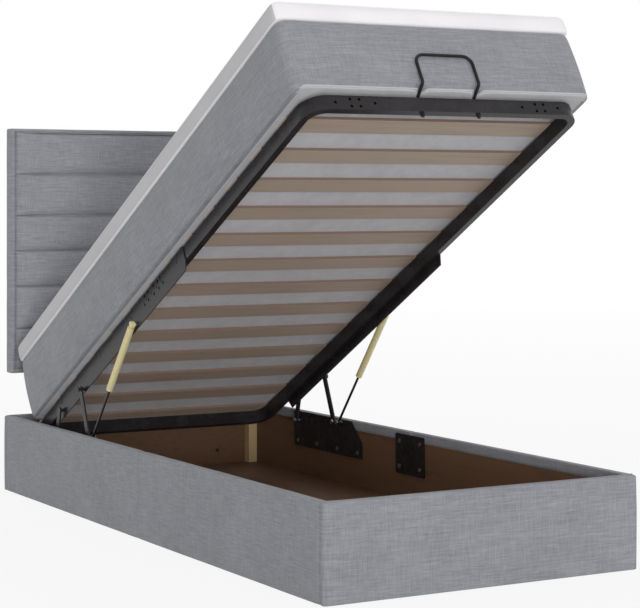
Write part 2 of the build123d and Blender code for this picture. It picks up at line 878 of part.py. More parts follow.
with BuildPart() as topper:
    layers = [
        cushion_layer(
            level, topper_width, topper_length, mattress_middle, inset, mattress_waist,
            max(topper_corner_radius, inset),
        )
        for level, inset in topper_levels
    ]
    loft(layers, ruled=True)
topper.part.label = "topper"
export_step(topper.part, "parts/topper.step")


def link_plane(x, start, end):
    """Plane across the bed at x, with its X axis from one pivot to the other."""
    angle = heading(start, end)
    return Plane(origin=(x, *start), x_dir=(0, cos(angle), sin(angle)), z_dir=(1, 0, 0))


# Arms: flat bars with rounded ends and a running fit on their pins
for name, start, end in (("front_arm", front_base, front_open), ("rear_arm", rear_base, rear_open)):
    for side, sign in sides:
        middle_plane = link_plane(sign * lane_x, start, end)
        length = distance(start, end)
        with BuildPart() as arm:
            with BuildSketch(middle_plane):
                with Locations((length / 2, 0)):
                    SlotCenterToCenter(length, arm_width)
                with Locations((0, 0)):
                    Circle(pin_radius + running_clearance, mode=Mode.SUBTRACT)
                if name == "front_arm":
                    with Locations((length, 0)):
                        Circle(pin_radius + running_clearance, mode=Mode.SUBTRACT)
            extrude(amount=arm_thickness / 2, both=True)
            if name == "rear_arm":
                reach = lane_x - hinge_plate_face_x - pin_end_gap
                extrude(circles(middle_plane, [(length, 0)], pin_radius), amount=-sign * reach)
        arm.part.label = f"{name}_{side}"
        export_step(arm.part, f"parts/{name}_{side}.step")

# Gas struts: a rod with its piston, and a cylinder with a gland that slides on it
rod_start = eye_radius
cylinder_foot = strut_stroke + eye_radius + strut_end_gap
cylinder_head = strut_length_open - eye_radius - strut_end_gap
bore_radius = strut_radius - strut_wall
piston_middle = cylinder_foot + gland_length + piston_length

for side, sign in sides:
    strut_plane = link_plane(sign * lane_x, strut_base, strut_open)
    strut_line = Plane(
        origin=strut_plane.origin,
        x_dir=(1, 0, 0),
        z_dir=strut_plane.x_dir,
    )
    with BuildPart() as strut_rod:
        extrude(circles(strut_plane, [(0, 0)], eye_radius), amount=eye_thickness / 2, both=True)
        with BuildSketch(strut_line.offset(rod_start - rod_radius / 2)):
            Circle(rod_radius)
        extrude(amount=piston_middle - rod_start + rod_radius / 2)
        with BuildSketch(strut_line.offset(piston_middle - piston_length / 2)):
            Circle(bore_radius - running_clearance)
        extrude(amount=piston_length)
        extrude(
            circles(strut_plane, [(0, 0)], pin_radius + running_clearance),
            amount=eye_thickness,
            both=True,
            mode=Mode.SUBTRACT,
        )
    strut_rod.part.label = f"strut_rod_{side}"
    export_step(strut_rod.part, f"parts/strut_rod_{side}.step")

    with BuildPart() as strut_cylinder:
        with BuildSketch(strut_line.offset(cylinder_foot)):
            Circle(strut_radius)
        extrude(amount=cylinder_head - cylinder_foot)
        with BuildSketch(strut_line.offset(cylinder_foot + gland_length)):
            Circle(bore_radius)
        extrude(amount=cylinder_head - cylinder_foot - gland_length - strut_wall, mode=Mode.SUBTRACT)
        with BuildSketch(strut_line.offset(cylinder_foot)):
            Circle(rod_radius + running_clearance)
        extrude(amount=gland_length, mode=Mode.SUBTRACT)
        with BuildSketch(strut_line.offset(cylinder_head)):
            Circle(rod_radius)
        extrude(amount=strut_length_open - eye_radius / 2 - cylinder_head)
        top_pivot = [(strut_length_open, 0)]
        extrude(circles(strut_plane, top_pivot, eye_radius), amount=eye_thickness / 2, both=True)
        reach = lane_x - hinge_plate_face_x - pin_end_gap
        extrude(circles(strut_plane, top_pivot, pin_radius), amount=-sign * reach)
    strut_cylinder.part.label = f"strut_cylinder_{side}"
    export_step(strut_cylinder.part, f"parts/strut_cylinder_{side}.step")

# Pivots and travel of the lift, for a look at the geometry
for label, start, open_place, closed_place in (
    ("front arm", front_base, front_open, when_closed(*front_pivot)),
    ("rear arm", rear_base, rear_open, when_closed(*rear_pivot)),
    ("strut", strut_base, strut_open, strut_closed),
):
    turn = degrees(heading(start, closed_place) - heading(start, open_place))
    print(
        f"{label}: base pivot y {start[0]:.3f} z {start[1]:.3f}, open y {open_place[0]:.3f}"
        f" z {open_place[1]:.3f}, closing turn {turn:.3f} degrees,"
        f" length {distance(start, open_place):.3f} to {distance(start, closed_place):.3f}"
    )
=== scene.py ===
import json
import math

import bpy
import numpy as np
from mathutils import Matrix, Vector, noise


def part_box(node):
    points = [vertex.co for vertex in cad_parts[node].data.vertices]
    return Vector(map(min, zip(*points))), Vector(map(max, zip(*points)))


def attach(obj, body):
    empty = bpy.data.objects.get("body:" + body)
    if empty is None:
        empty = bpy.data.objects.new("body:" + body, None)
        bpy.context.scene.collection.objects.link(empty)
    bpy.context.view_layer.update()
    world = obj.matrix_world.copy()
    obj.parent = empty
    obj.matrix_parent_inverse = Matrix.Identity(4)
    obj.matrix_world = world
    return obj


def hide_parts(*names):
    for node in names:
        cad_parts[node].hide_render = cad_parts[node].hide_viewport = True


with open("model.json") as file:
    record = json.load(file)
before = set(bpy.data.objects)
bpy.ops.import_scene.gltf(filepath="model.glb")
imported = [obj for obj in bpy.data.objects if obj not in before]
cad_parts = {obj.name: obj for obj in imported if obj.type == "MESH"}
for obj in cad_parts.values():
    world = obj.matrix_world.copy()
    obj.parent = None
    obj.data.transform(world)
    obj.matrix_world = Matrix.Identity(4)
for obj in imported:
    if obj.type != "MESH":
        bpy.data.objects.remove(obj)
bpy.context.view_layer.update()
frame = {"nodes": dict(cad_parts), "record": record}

# Sizes in metres. What the frame holds is measured from the frame; the rest is named here.

tilt = math.radians(29.25)
tube_height = 0.040
slat_top = 0.048

foot_half_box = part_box("frame_foot_half")
platform_y = foot_half_box[0][1]
platform_z = foot_half_box[1][2] - tube_height * math.cos(tilt)

foot_cover_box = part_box("foot_cover")
head_cover_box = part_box("head_cover")
base_half_width = foot_cover_box[1][0]
base_half_length = head_cover_box[1][1]
base_height = foot_cover_box[1][2]
panel_thickness = foot_cover_box[1][1] - foot_cover_box[0][1]
lip_thickness = 0.0015
board_back = panel_thickness - lip_thickness
lip_drop = 0.028


def on_platform(across, along, up):
    """Point of the open platform, from its foot end and the underside of its tube."""
    return Vector((
        across,
        platform_y + along * math.cos(tilt) + up * math.sin(tilt),
        platform_z - along * math.sin(tilt) + up * math.cos(tilt),
    ))


platform_up = on_platform(0, 0, 1) - on_platform(0, 0, 0)


# Colours, as linear light

upholstery_light = (0.345, 0.355, 0.385)
upholstery_dark = (0.185, 0.190, 0.205)
underside_light = (0.56, 0.555, 0.58)
underside_dark = (0.44, 0.44, 0.46)
piping_grey = (0.50, 0.50, 0.53)
topper_white = (0.88, 0.86, 0.88)
# Painted shade: a darker copy of the topper's white knit, for its long sides only
topper_side_shade = (0.56, 0.55, 0.565)
steel_dark = (0.0200, 0.0180, 0.0200)
# Near-black of the screw heads: painted shade, standing in for the dark inside holes
hole_shade_black = (0.0015, 0.0015, 0.0015)
handle_black = (0.0035, 0.0035, 0.004)
strut_yellow = (0.74, 0.66, 0.36)
rod_black = (0.012, 0.012, 0.013)
zinc_grey = (0.50, 0.49, 0.47)
pin_grey = (0.060, 0.058, 0.058)
board_brown = (0.160, 0.085, 0.045)
board_brown_dark = (0.085, 0.045, 0.026)
plywood_light = (0.39, 0.31, 0.25)
plywood_dark = (0.30, 0.23, 0.178)
# Slat edge colour: partly the plies' own darker edge, partly painted shade of the slats' edge faces
plywood_edge_and_shade = (0.22, 0.155, 0.12)
softwood_light = (0.62, 0.45, 0.25)
softwood_dark = (0.46, 0.30, 0.15)
plastic_black = (0.018, 0.018, 0.019)
cloth_black = (0.020, 0.020, 0.022)
floor_white = (0.84, 0.84, 0.84)


# Materials

class Nodes:
    """Node tree of a material, a world or a maker, with a short way to add what it needs."""

    def __init__(self, tree):
        self.tree = tree

    def join(self, output, target):
        self.tree.links.new(output, target)

    def add(self, kind, inputs=None, **settings):
        """New node, its inputs set to plain values or joined to the outputs of other nodes."""
        node = self.tree.nodes.new(kind)
        for label, value in settings.items():
            setattr(node, label, value)
        for label, value in (inputs or {}).items():
            if isinstance(value, bpy.types.NodeSocket):
                self.join(value, node.inputs[label])
            else:
                node.inputs[label].default_value = value
        return node

    def combine(self, operation, first, second):
        return self.add("ShaderNodeMath", {0: first, 1: second}, operation=operation).outputs["Value"]


class Finish(Nodes):
    """New material with its shader, and with coordinates turned to lie along a tilted piece."""

    def __init__(self, name, roughness, metallic=0.0, specular=0.5, sheen=0.0, turn=0.0):
        self.material = bpy.data.materials.new(name)
        self.material.use_nodes = True
        super().__init__(self.material.node_tree)
        self.shader = self.tree.nodes["Principled BSDF"]
        sockets = self.shader.inputs
        sockets["Roughness"].default_value = roughness
        sockets["Metallic"].default_value = metallic
        sockets["Specular IOR Level"].default_value = specular
        sockets["Sheen Weight"].default_value = sheen
        self.given = self.add("ShaderNodeTexCoord").outputs
        turned = self.add(
            "ShaderNodeMapping", {"Vector": self.given["Object"], "Rotation": (turn, 0, 0)}
        )
        self.vector = turned.outputs["Vector"]

    def grain(self, stretch, detail=2.0, roughness=0.5):
        """Noise whose grain is finer along the axes with a larger stretch."""
        mapping = self.add("ShaderNodeMapping", {"Vector": self.vector, "Scale": stretch})
        texture = self.add("ShaderNodeTexNoise", {
            "Vector": mapping.outputs["Vector"],
            "Scale": 1.0,
            "Detail": detail,
            "Roughness": roughness,
        })
        return texture.outputs["Fac"]

    def layers(self, *layers):
        """Sum of grains, each with its weight."""
        total = None
        for grain, weight in layers:
            part = grain if weight == 1 else self.combine("MULTIPLY", grain, weight)
            total = part if total is None else self.combine("ADD", total, part)
        return total

    def ramp(self, value, *stops):
        """Colour that runs through the stops as the value grows."""
        ramp = self.add("ShaderNodeValToRGB", {"Fac": value})
        elements = ramp.color_ramp.elements
        while len(elements) < len(stops):
            elements.new(0.5)
        for element, (position, colour) in zip(elements, stops):
            element.position = position
            element.color = (*colour, 1.0)
        return ramp.outputs["Color"]

    def paint(self, colour):
        self.join(colour, self.shader.inputs["Base Color"])

    def emboss(self, height, depth, strength):
        bump = self.add("ShaderNodeBump", {"Height": height, "Distance": depth, "Strength": strength})
        self.join(bump.outputs["Normal"], self.shader.inputs["Normal"])


def scaled(colour, factor):
    return tuple(channel * factor for channel in colour)


thread_run = 30
long_slub_run = 13
cross_slub_run = 18
cross_slub_weight = 0.55
tone_weight = 0.5


def woven_cloth(name, dark, light, turn=0.0, thread=520.0, slub=270.0):
    """Plain linen-look weave: fine crossing threads with thicker, paler slubs along them."""
    finish = Finish(name, roughness=0.92, specular=0.25, sheen=0.15, turn=turn)
    weft = finish.grain((thread_run, thread_run, thread))
    warp = finish.grain((thread, thread, thread_run))
    long_slub = finish.grain((long_slub_run, long_slub_run, slub), detail=3.0)
    cross_slub = finish.grain((slub, slub, cross_slub_run), detail=3.0)
    tone = finish.grain((5, 5, 5), detail=3.0)
    woven = finish.layers((weft, 1), (warp, 1), (long_slub, 1), (cross_slub, cross_slub_weight))
    toned = finish.layers((woven, 1), (tone, tone_weight))
    shade = finish.combine("MULTIPLY", toned, 1 / (3 + cross_slub_weight + tone_weight))
    finish.paint(finish.ramp(shade, (0.36, dark), (0.64, light)))
    finish.emboss(woven, depth=0.0007, strength=0.55)
    return finish.material


def knitted_cloth(name, colour, turn=0.0):
    """Smooth knitted cover with faint rows of loops."""
    finish = Finish(name, roughness=0.95, specular=0.2, sheen=0.2, turn=turn)
    loops = finish.grain((420, 420, 420), detail=1.0)
    soft = finish.grain((6, 6, 9), detail=3.0)
    shade = finish.layers((loops, 0.35), (soft, 1))
    finish.paint(finish.ramp(shade, (0.40, scaled(colour, 0.93)), (0.85, colour)))
    finish.emboss(loops, depth=0.0004, strength=0.4)
    return finish.material


def coated_steel(name, colour, roughness, specular):
    """Powder coat with the fine orange peel of a sprayed finish."""
    finish = Finish(name, roughness, specular=specular)
    peel = finish.grain((900, 900, 900), detail=1.0)
    scuff = finish.grain((14, 14, 14), detail=4.0, roughness=0.65)
    bright = tuple(channel * 1.7 + 0.001 for channel in colour)
    finish.paint(finish.ramp(scuff, (0.45, colour), (0.80, bright)))
    rough = finish.add("ShaderNodeMapRange", {
        "Value": scuff,
        "To Min": roughness - 0.08,
        "To Max": roughness + 0.14,
    })
    finish.join(rough.outputs["Result"], finish.shader.inputs["Roughness"])
    finish.emboss(peel, depth=0.00012, strength=0.4)
    return finish.material


def bare_metal(name, colour, roughness=0.38):
    """Zinc plate with fine scratches."""
    finish = Finish(name, roughness, metallic=1.0)
    scratch = finish.grain((60, 900, 900))
    finish.paint(finish.ramp(scratch, (0.3, scaled(colour, 0.75)), (0.7, colour)))
    finish.emboss(scratch, depth=0.00008, strength=0.5)
    return finish.material


def sprayed_paint(name, colour, roughness=0.35):
    """Even glossy paint with slight waves in its film."""
    finish = Finish(name, roughness)
    film = finish.grain((120, 120, 120))
    finish.paint(finish.ramp(film, (0.35, scaled(colour, 0.90)), (0.65, colour)))
    finish.emboss(film, depth=0.0001, strength=0.3)
    return finish.material


def ply_edge_shade(finish, colour, edge, turn):
    """Gives the edge colour to the faces that look along the platform: painted shade on those faces,
    partly the darker edge of the plies.
    """
    along = finish.add(
        "ShaderNodeVectorMath",
        {0: finish.given["Normal"], 1: (0.0, math.cos(turn), -math.sin(turn))},
        operation="DOT_PRODUCT",
    )
    facing = finish.combine("ABSOLUTE", along.outputs["Value"], 0.0)
    share = finish.combine("GREATER_THAN", facing, 0.7)
    mix = finish.add("ShaderNodeMix", {0: share, 6: colour, 7: (*edge, 1.0)}, data_type="RGBA")
    return mix.outputs[2]


def grained_wood(
    name, dark, light, turn=0.0, stretch=(5, 90, 160), roughness=0.6, contrast=0.25, edge=None
):
    """Wood in streaks with pores between them, longest along the axis with the least stretch."""
    finish = Finish(name, roughness, specular=0.35, turn=turn)
    streaks = finish.grain(stretch, detail=5.0, roughness=0.6)
    pores = finish.grain(scaled(stretch, 6), detail=1.0)
    broad = finish.grain((1.2, 6, 6))
    figure = finish.layers((streaks, 1), (pores, 0.25), (broad, 0.5))
    figure = finish.combine("MULTIPLY", figure, 1 / 1.75)
    colour = finish.ramp(figure, (0.5 - contrast, dark), (0.5, light), (0.5 + contrast, light))
    # Edge faces take the darker edge colour: painted shade, partly the plies' own edge
    finish.paint(ply_edge_shade(finish, colour, edge, turn) if edge else colour)
    finish.emboss(pores, depth=0.0002, strength=0.35)
    return finish.material


def moulded_plastic(name, colour, roughness=0.5, specular=0.5):
    """Plastic with the fine grain of its mould."""
    finish = Finish(name, roughness, specular=specular)
    grain = finish.grain((700, 700, 700), detail=1.0)
    finish.paint(finish.ramp(grain, (0.4, colour), (0.7, scaled(colour, 1.4))))
    finish.emboss(grain, depth=0.0001, strength=0.6)
    return finish.material


upholstery = woven_cloth("upholstery_linen", upholstery_dark, upholstery_light)
mattress_side_cloth = woven_cloth(
    "mattress_linen", upholstery_dark, upholstery_light, turn=tilt, thread=560.0
)
mattress_under_cloth = woven_cloth(
    "mattress_underside", underside_dark, underside_light, turn=tilt, thread=300.0, slub=90.0
)
piping_cloth = knitted_cloth("piping_cord", piping_grey, turn=tilt)
topper_cloth = knitted_cloth("topper_knit", topper_white, turn=tilt)
# Darker copy of the topper knit for its long sides: painted shade
topper_side_shade_cloth = knitted_cloth("topper_border_knit", topper_side_shade, turn=tilt)
back_cloth = woven_cloth("black_backing_cloth", cloth_black, scaled(cloth_black, 1.8), thread=800.0)
dark_steel = coated_steel("dark_powder_coat", steel_dark, roughness=0.24, specular=0.20)
handle_coat = coated_steel("black_handle_coat", handle_black, roughness=0.36, specular=0.3)
strut_paint = sprayed_paint("pale_yellow_paint", strut_yellow)
black_rod = sprayed_paint("black_rod", rod_black, roughness=0.22)
zinc = bare_metal("zinc_plate", zinc_grey)
dark_pin = bare_metal("blackened_pin", pin_grey, roughness=0.45)
brown_board = grained_wood(
    "brown_board", board_brown_dark, board_brown, stretch=(40, 5, 70), roughness=0.55, contrast=0.22
)
pine = grained_wood("planed_softwood", softwood_dark, softwood_light, stretch=(60, 60, 6))
slat_wood = grained_wood("slat_plywood", plywood_dark, plywood_light, turn=tilt, edge=plywood_edge_and_shade)
black_plastic = moulded_plastic("black_plastic", plastic_black)
# Near-black and hardly reflecting: painted shade of the holes in the foot tube and the hinge plates
screw_hole_shade = moulded_plastic("blackened_screw", hole_shade_black, roughness=0.8, specular=0.03)

slot_materials = {
    "upholstery": upholstery,
    "mattress_cloth": mattress_side_cloth,
    "topper_cloth": topper_cloth,
    "back_cloth": back_cloth,
    "brown_board": brown_board,
    "pine": pine,
    "slat_wood": slat_wood,
    "dark_steel": dark_steel,
    "strut_paint": strut_paint,
    "strut_black": black_rod,
    "zinc": zinc,
    "knob_plastic": black_plastic,
}

for subpart in frame["record"]["subparts"]:
    for material_slot in frame["nodes"][subpart["node"]].material_slots:
        material_slot.material = slot_materials[subpart["material_slot"]]
for material_slot in frame["nodes"]["platform_pivot_pins"].material_slots:
    material_slot.material = dark_pin


# Mesh helpers

def make_piece(name, points, faces, materials):
    """New mesh object at the origin, with its place in its mesh."""
    mesh = bpy.data.meshes.new(name)
    mesh.from_pydata([tuple(point) for point in points], [], faces)
    for material in materials:
        mesh.materials.append(material)
    mesh.validate()
    mesh.update()
    mesh.shade_smooth()
    piece = bpy.data.objects.new(name, mesh)
    bpy.context.scene.collection.objects.link(piece)
    return piece


def finish_piece(piece, body, replaced=()):
    """Hangs the piece on its body, and hides the frame parts that it replaces."""
    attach(piece, body)
    if replaced:
        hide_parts(*replaced)


def add_subdivision(piece):
    smoother = piece.modifiers.new("smoother", "SUBSURF")
    smoother.levels = 1
    smoother.render_levels = 1


def add_wall(piece, thickness):
    """Gives a sheet its thickness, behind the side that faces outward."""
    wall = piece.modifiers.new("wall", "SOLIDIFY")
    wall.thickness = thickness
    wall.offset = -1.0


def arc_points(centre, radius, start, end, steps):
    """Points of an arc, its angles in degrees."""
    angles = np.radians(np.linspace(start, end, steps + 1))
    x, y = centre
    return [(x + radius * math.cos(angle), y + radius * math.sin(angle)) for angle in angles]


def grid_faces(rows, columns, close_rows=False, close_columns=False, first=0, flip=False):
    """Quads of a grid of points stored row by row."""
    faces = []
    for row in range(rows if close_rows else rows - 1):
        for column in range(columns if close_columns else columns - 1):
            a = first + row * columns + column
            b = first + row * columns + (column + 1) % columns
            c = first + ((row + 1) % rows) * columns + (column + 1) % columns
            d = first + ((row + 1) % rows) * columns + column
            faces.append((a, d, c, b) if flip else (a, b, c, d))
    return faces


def eased(share):
    """Share from 0 to 1 that starts and ends slowly."""
    return share * share * (3 - 2 * share)


def soft_wave(point, size, depth):
    """Slow, fixed unevenness of a stuffed surface."""
    return depth * noise.noise(Vector(point) / size)


cloth_frames = 18
cloth_quality = 6
cloth_mass = 0.3
cloth_stiffness = 12.0
cloth_bending = 0.4


def settle_cloth(piece, held, pressure, cap):
    """Swells a piece under pressure, held at its seams, with the travel of every point capped."""
    mesh = piece.data
    start = np.empty(len(mesh.vertices) * 3)
    mesh.vertices.foreach_get("co", start)
    group = piece.vertex_groups.new(name="held")
    group.add([int(index) for index in held], 1.0, "REPLACE")
    cloth = piece.modifiers.new("swell", "CLOTH")
    settings = cloth.settings
    settings.quality = cloth_quality
    settings.mass = cloth_mass
    settings.tension_stiffness = cloth_stiffness
    settings.compression_stiffness = cloth_stiffness
    settings.shear_stiffness = cloth_stiffness / 2
    settings.bending_stiffness = cloth_bending
    settings.use_pressure = True
    settings.uniform_pressure_force = pressure
    settings.vertex_group_mass = "held"
    settings.effector_weights.gravity = 0.0
    cloth.collision_settings.use_collision = False
    cloth.point_cache.frame_start = 1
    cloth.point_cache.frame_end = cloth_frames
    scene = bpy.context.scene
    for number in range(1, cloth_frames + 1):
        scene.frame_set(number)
    evaluated = piece.evaluated_get(bpy.context.evaluated_depsgraph_get())
    settled = np.empty_like(start)
    evaluated.data.vertices.foreach_get("co", settled)
    travel = (settled - start).reshape(-1, 3)
    length = np.linalg.norm(travel, axis=1, keepdims=True)
    limited = travel * np.minimum(1.0, cap / np.maximum(length, 1e-9))
    mesh.vertices.foreach_set("co", (start.reshape(-1, 3) + limited).ravel())
    mesh.update()
    piece.modifiers.remove(cloth)
    piece.vertex_groups.clear()
    scene.frame_set(1)


# Geometry Nodes trees for what follows a line or repeats

class Maker(Nodes):
    """Geometry Nodes tree with named inputs, which ends in real geometry of one material."""

    def __init__(self, name, inputs):
        super().__init__(bpy.data.node_groups.new(name, "GeometryNodeTree"))
        new_socket = self.tree.interface.new_socket
        for label, kind in (("Geometry", "Geometry"), *inputs, ("Material", "Material")):
            new_socket(label, in_out="INPUT", socket_type=f"NodeSocket{kind}")
        new_socket("Geometry", in_out="OUTPUT", socket_type="NodeSocketGeometry")
        self.given = self.add("NodeGroupInput").outputs

    def end(self, geometry):
        realized = self.add("GeometryNodeRealizeInstances", {"Geometry": geometry})
        painted = self.add("GeometryNodeSetMaterial", {
            "Geometry": realized.outputs["Geometry"],
            "Material": self.given["Material"],
        })
        self.add("NodeGroupOutput", {"Geometry": painted.outputs["Geometry"]})
        return self.tree


def path_object(name, points, closed=False):
    """Curve object through the points, with straight runs between them."""
    curve = bpy.data.curves.new(name, "CURVE")
    curve.dimensions = "3D"
    spline = curve.splines.new("POLY")
    spline.points.add(len(points) - 1)
    for knot, point in zip(spline.points, points):
        knot.co = (*point, 1.0)
    spline.use_cyclic_u = closed
    path = bpy.data.objects.new(name, curve)
    bpy.context.scene.collection.objects.link(path)
    return path


def round_cord_tree():
    """Round cord along a path: piping and rods."""
    maker = Maker("round_cord", (("Radius", "Float"), ("Sides", "Int")))
    section = maker.add("GeometryNodeCurvePrimitiveCircle", {
        "Radius": maker.given["Radius"],
        "Resolution": maker.given["Sides"],
    })
    sweep = maker.add("GeometryNodeCurveToMesh", {
        "Curve": maker.given["Geometry"],
        "Profile Curve": section.outputs["Curve"],
        "Fill Caps": True,
    })
    soften = maker.add("GeometryNodeSetShadeSmooth", {"Geometry": sweep.outputs["Mesh"]})
    return maker.end(soften.outputs["Geometry"])


screw_sides = 16
screw_top_share = 0.72


def screw_tree():
    """Flat screw heads, one on each point of a mesh, all facing one way."""
    maker = Maker("screw_heads", (("Radius", "Float"), ("Height", "Float"), ("Facing", "Vector")))
    head = maker.add("GeometryNodeMeshCone", {
        "Vertices": screw_sides,
        "Radius Bottom": maker.given["Radius"],
        "Radius Top": maker.combine("MULTIPLY", maker.given["Radius"], screw_top_share),
        "Depth": maker.given["Height"],
    })
    align = maker.add("FunctionNodeAlignRotationToVector", {"Vector": maker.given["Facing"]})
    place = maker.add("GeometryNodeInstanceOnPoints", {
        "Points": maker.given["Geometry"],
        "Rotation": align.outputs["Rotation"],
        "Instance": head.outputs["Mesh"],
    })
    return maker.end(place.outputs["Instances"])


def run_tree(piece, tree, **inputs):
    """Runs a tree on a piece with its named inputs set, and leaves a plain mesh object."""
    modifier = piece.modifiers.new("maker", "NODES")
    modifier.node_group = tree
    for socket in tree.interface.items_tree:
        if socket.in_out == "INPUT" and socket.name in inputs:
            modifier[socket.identifier] = inputs[socket.name]
    bpy.context.view_layer.update()
    evaluated = piece.evaluated_get(bpy.context.evaluated_depsgraph_get())
    mesh = bpy.data.meshes.new_from_object(evaluated)
    name = piece.name
    bpy.data.objects.remove(piece)
    made = bpy.data.objects.new(name, mesh)
    bpy.context.scene.collection.objects.link(made)
    return made


cord_maker = round_cord_tree()
screw_maker = screw_tree()


def round_cord(name, points, radius, material, body, closed=False, sides=10, replaced=()):
    """Finished piping or rod of one thickness along the points."""
    cord = path_object(name, points, closed)
    cord = run_tree(cord, cord_maker, Radius=radius, Sides=sides, Material=material)
    finish_piece(cord, body, replaced)


# Upholstered sides of the base

skin = 0.0012
side_arris = 0.005
lip_arris = 0.0025
hem_arris = 0.003
side_arris_steps = 6
small_arris_steps = 4
rim_shares = (0.25, 0.5, 0.75)
lip_shares = (0.4, 0.7, 1.0)
hem_width = 0.018
lip_inside = panel_thickness - skin
rim_wall = skin * 3
side_wall = skin * 4
panel_crown = 0.0014
panel_rows = 22
rim_crown = 0.0008
seam_depth = 0.0028
seam_reach = 0.007
rim_pull_share = 0.7
station_spacing = 0.016
seam_stations = (0.0, 0.0012, 0.003, 0.0055, 0.009, 0.014, 0.021)
wave_size = 0.11
wave_depth = 0.0007
side_wave_seed = 3
end_wave_seed = 5


def skin_profile():
    """Outside of a panel from its hem, up, over the rim and down the lip, as inward and height."""
    outside = [(hem_width, 0.0), (hem_width / 2, 0.0)]
    outside += arc_points((hem_arris, hem_arris), hem_arris, 270, 180, small_arris_steps)
    low, high = hem_arris, base_height - side_arris
    for row in range(1, panel_rows):
        height = low + (high - low) * row / panel_rows
        outside.append((-panel_crown * math.sin(math.pi * height / base_height), height))
    outside += arc_points((side_arris, high), side_arris, 180, 90, side_arris_steps)
    rim = panel_thickness - side_arris - lip_arris
    for step in rim_shares:
        lift = rim_crown * math.sin(math.pi * step)
        outside.append((side_arris + rim * step, base_height + lift))
    lip_centre = (panel_thickness - lip_arris, base_height - lip_arris)
    outside += arc_points(lip_centre, lip_arris, 90, 0, small_arris_steps)
    for step in lip_shares:
        outside.append((panel_thickness, base_height - lip_arris - (lip_drop - lip_arris) * step))
    return outside


def seam_pull(distance):
    """How far the cloth is drawn in at this distance from a seam."""
    return seam_depth * math.exp(-distance / seam_reach)


def seam_to_seam(length, near, spacing):
    """Places along a run between two seams, closer together near both of them."""
    near = [place for place in near if place < length / 2]
    free = length - 2 * near[-1]
    count = max(2, round(free / spacing))
    middle = [near[-1] + free * k / count for k in range(1, count)]
    return near + middle + [length - place for place in reversed(near)]


def side_cover(side, sign, half, direction):
    """Padded cover of half a side, drawn in at the seams at its two ends."""
    length = base_half_length - board_back
    outside = skin_profile()
    inside = [
        (lip_inside, base_height - lip_drop),
        (lip_inside, base_height - rim_wall),
        (side_wall, base_height - rim_wall),
        (side_wall, skin),
        (hem_width, skin),
    ]
    places = seam_to_seam(length, seam_stations, station_spacing)
    points = []
    for place in places:
        pull = seam_pull(place) + seam_pull(length - place)
        hold = 1.0 - pull / seam_depth
        y = direction * place
        for inward, height in outside:
            wave = hold * soft_wave((sign * side_wave_seed, y, height), wave_size, wave_depth)
            if inward > side_arris and height > base_height - side_arris / 2:
                height -= pull * rim_pull_share - wave
            else:
                inward += pull + wave
            points.append((sign * (base_half_width - inward), y, max(0.0, height)))
        points += [(sign * (base_half_width - inward), y, height) for inward, height in inside]
    columns = len(outside) + len(inside)
    flip = sign * direction > 0
    faces = grid_faces(len(places), columns, close_columns=True, flip=flip)
    order = 1 if flip else -1
    faces.append(tuple(range(columns))[::order])
    faces.append(tuple(range(len(points) - columns, len(points)))[::-order])
    node = f"side_cover_{side}_{half}"
    cover = make_piece(f"padded_{node}", points, faces, [upholstery])
    finish_piece(cover, "base", (node,))


corner_radius = 0.011
corner_steps = 8
return_shares = (0.0, 0.08, 0.2, 0.4, 0.7)
end_columns = 58
end_hem_share = 0.54
end_cover_gap = 0.0004
rim_wave_fade = 3


def end_cover(end, direction):
    """Padded cover of the foot or head panel, wrapped round both corners of the base."""
    depth = board_back - end_cover_gap
    run = depth - corner_radius
    # An outline point: place across, depth behind the face, direction outward, way to the seam
    corner = []
    for share in return_shares:
        corner.append((-base_half_width, depth - run * share, -1.0, 0.0, run * share))
    for inward, back in arc_points(
        (corner_radius, corner_radius), corner_radius, 180, 270, corner_steps
    ):
        out_x, out_y = inward / corner_radius - 1, back / corner_radius - 1
        corner.append((-base_half_width + inward, back, out_x, out_y, math.inf))
    inner = base_half_width - corner_radius
    straight = [
        (-inner + 2 * inner * k / end_columns, 0.0, 0.0, -1.0, math.inf)
        for k in range(1, end_columns)
    ]
    mirrored = [(-x, back, -out_x, out_y, distance) for x, back, out_x, out_y, distance in corner]
    outline = corner + straight + mirrored[::-1]
    profile = skin_profile()
    points = []
    total = len(outline)
    for index, (x, back, out_x, out_y, distance) in enumerate(outline):
        pull = seam_pull(distance)
        reach_x = -base_half_width + 2 * base_half_width * index / (total - 1)
        on_lip = abs(reach_x) < base_half_width - panel_thickness
        back_line = board_back + lip_thickness * on_lip
        for inward, height in profile:
            share = min(1.0, max(0.0, inward / panel_thickness))
            if height > base_height / 2:
                across = x + (reach_x - x) * share
                behind = back + (back_line - back) * share
            else:
                hem = max(0.0, inward) * end_hem_share
                across = x - out_x * hem
                behind = back - out_y * hem
            wave = soft_wave((across, direction * end_wave_seed, height), wave_size, wave_depth)
            wave *= 1.0 - min(1.0, share * rim_wave_fade)
            outward = -min(0.0, inward) - pull * (1 - share) + wave
            across += out_x * outward
            behind += out_y * outward
            points.append((across, direction * (base_half_length - behind), height))
    faces = grid_faces(total, len(profile), flip=direction < 0)
    node = f"{end}_cover"
    cover = make_piece(f"padded_{node}", points, faces, [upholstery])
    add_wall(cover, skin)
    finish_piece(cover, "base", (node,))


for side, sign in (("left", -1), ("right", 1)):
    for half, direction in (("foot", -1), ("head", 1)):
        side_cover(side, sign, half, direction)
end_cover("foot", -1)
end_cover("head", 1)


# Headboard: channelled padding and the border round it

